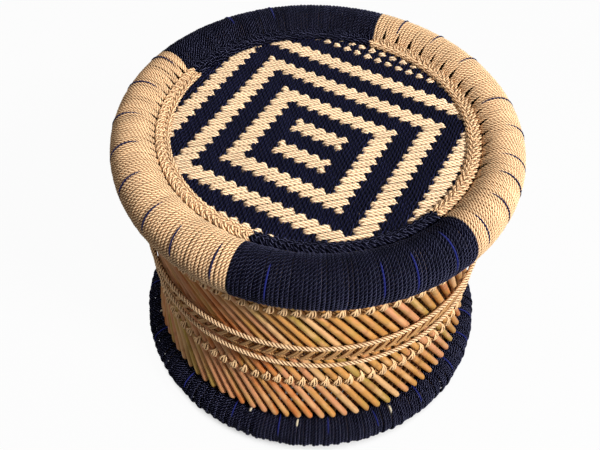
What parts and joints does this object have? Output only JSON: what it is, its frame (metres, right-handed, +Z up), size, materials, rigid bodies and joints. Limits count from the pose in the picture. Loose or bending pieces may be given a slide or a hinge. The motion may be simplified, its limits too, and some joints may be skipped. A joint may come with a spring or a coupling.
{
  "type": "woven reed stool",
  "caption": "Round stool: two crossed layers of straight reeds between a rope-wound foot ring and a thick rope-wound rim, with a woven rope seat in a nested diamond pattern.",
  "frame": {"origin": "on the floor under the middle of the seat", "axes": "+Z up, -Y towards the navy front of the rim"},
  "size_m": [0.41, 0.409, 0.319],
  "materials": {
    "natural_rope": "twisted natural cord, matt with a soft sheen",
    "navy_rope": "twisted navy cord, matt with a soft sheen",
    "woven_seat": "navy and natural cords woven in nested diamonds",
    "reed": "smooth split reed, honey to pink and olive",
    "inner_reed": "smooth reed, shaded brown",
    "grass_core": "bundled dry grass"
  },
  "bodies": {
    "root": {"outer_reeds_01": "reed", "inner_reeds_01": "inner_reed", "outer_reeds_02": "reed", "inner_reeds_02": "inner_reed", "outer_reeds_03": "reed", "inner_reeds_03": "inner_reed", "outer_reeds_04": "reed", "inner_reeds_04": "inner_reed", "outer_reeds_05": "reed", "inner_reeds_05": "inner_reed", "outer_reeds_06": "reed", "inner_reeds_06": "inner_reed", "outer_reeds_07": "reed", "inner_reeds_07": "inner_reed", "outer_reeds_08": "reed", "inner_reeds_08": "inner_reed", "outer_reeds_09": "reed", "inner_reeds_09": "inner_reed", "outer_reeds_10": "reed", "inner_reeds_10": "inner_reed", "outer_reeds_11": "reed", "inner_reeds_11": "inner_reed", "outer_reeds_12": "reed", "inner_reeds_12": "inner_reed", "outer_reeds_13": "reed", "inner_reeds_13": "inner_reed", "outer_reeds_14": "reed", "inner_reeds_14": "inner_reed", "outer_reeds_15": "reed", "inner_reeds_15": "inner_reed", "upper_waist_rope": "natural_rope", "lower_waist_rope": "natural_rope", "inner_waist_rope": "natural_rope", "upper_knot_cord": "natural_rope", "waist_lacing": "natural_rope", "rim_winding_right_natural": "natural_rope", "seat_plait_right_natural": "natural_rope", "rim_winding_back_navy": "navy_rope", "seat_plait_back_navy": "navy_rope", "rim_winding_left_natural": "natural_rope", "seat_plait_left_natural": "natural_rope", "rim_winding_front_navy": "navy_rope", "seat_plait_front_navy": "navy_rope", "rim_core": "grass_core", "foot_core": "grass_core", "foot_winding": "navy_rope", "woven_seat": "woven_seat"}
  },
  "joints": []
}
